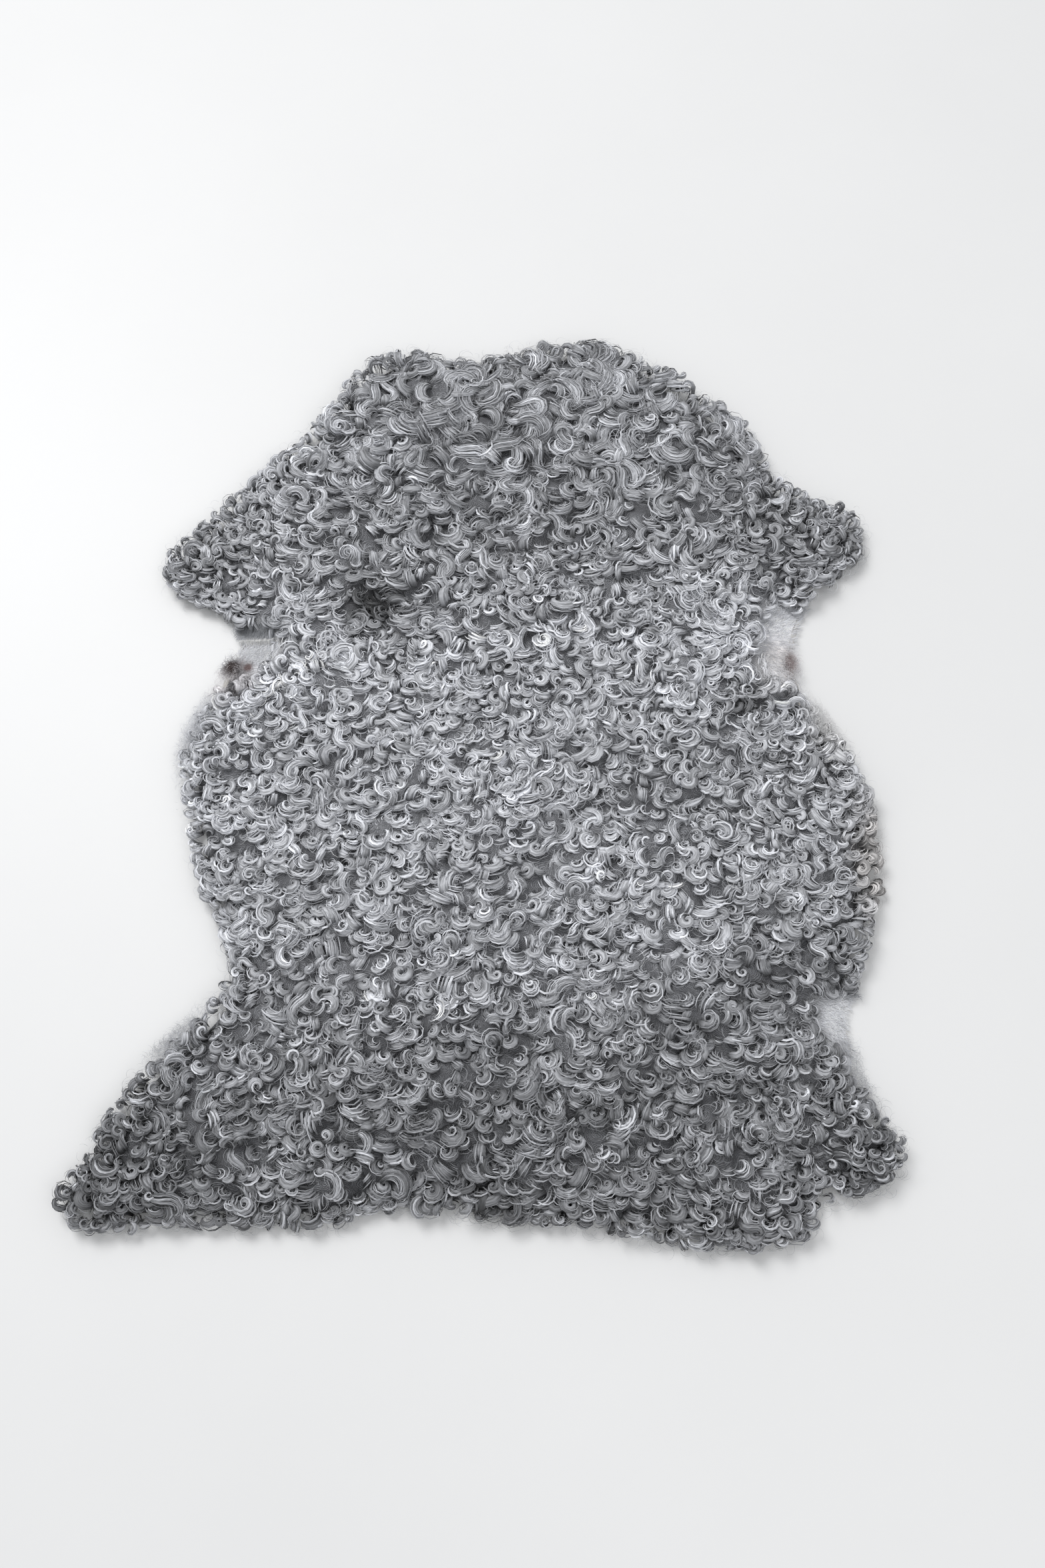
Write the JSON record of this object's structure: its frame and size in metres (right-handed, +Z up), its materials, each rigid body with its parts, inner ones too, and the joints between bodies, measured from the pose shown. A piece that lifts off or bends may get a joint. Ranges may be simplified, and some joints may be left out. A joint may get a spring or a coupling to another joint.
{
  "type": "sheepskin rug",
  "caption": "Curly long-wool sheepskin rug lying flat, with its natural cut outline, curled locks round the rim and clipped patches at the leg notches.",
  "frame": {"origin": "middle of the rug's footprint, on the floor under the hide", "axes": "+Z up, out of the wool; +Y towards the neck; +X to the right seen from above with the neck up"},
  "size_m": [0.8044, 1.0116, 0.0394],
  "materials": {
    "wool": "curly undyed grey wool, silky sheen, darker in the hollows and at the rim",
    "hide": "off-white tanned skin with a matt suede underside"
  },
  "bodies": {
    "root": {"hide": "hide", "fleece": "wool"}
  },
  "joints": []
}
